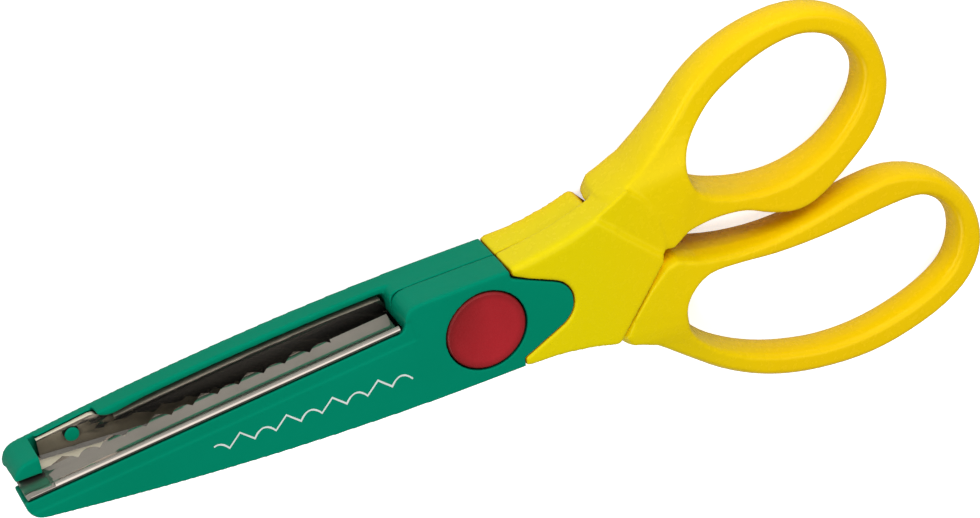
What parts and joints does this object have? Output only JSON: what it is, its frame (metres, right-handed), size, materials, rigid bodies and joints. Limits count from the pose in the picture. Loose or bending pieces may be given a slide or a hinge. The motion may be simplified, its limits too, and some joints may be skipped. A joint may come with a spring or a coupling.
{
  "type": "pinking shears",
  "caption": "Craft pinking shears with wavy-edged steel blades in moulded carriers, round pivot caps and two finger loops.",
  "frame": {"origin": "pivot axis, on the flat outer face that the shears rest on", "axes": "+X along the closed shears towards the handles, +Y towards the thumb loop, +Z out of the face that looks up when the shears lie on a table"},
  "size_m": [0.164, 0.0671, 0.012],
  "materials": {
    "green_plastic": "satin moulded",
    "yellow_plastic": "glossy moulded",
    "red_plastic": "satin with fine texture",
    "blade_steel": "polished stainless",
    "pivot_steel": "turned",
    "washer_plastic": "natural"
  },
  "bodies": {
    "front_half": {"front_carrier": "green_plastic", "front_blade": "blade_steel", "front_handle": "yellow_plastic", "front_cap": "red_plastic", "pivot_barrel": "pivot_steel", "pivot_screw": "pivot_steel", "disc_spring": "pivot_steel", "thrust_washer": "washer_plastic"},
    "rear_half": {"rear_carrier": "green_plastic", "rear_blade": "blade_steel", "rear_handle": "yellow_plastic", "rear_cap": "red_plastic"}
  },
  "joints": [
    {"name": "pivot", "type": "hinge", "parent": "front_half", "child": "rear_half", "pos_m": [0, 0, 0.006], "axis": [0, 0, -1], "range_deg": [0, 50]}
  ]
}
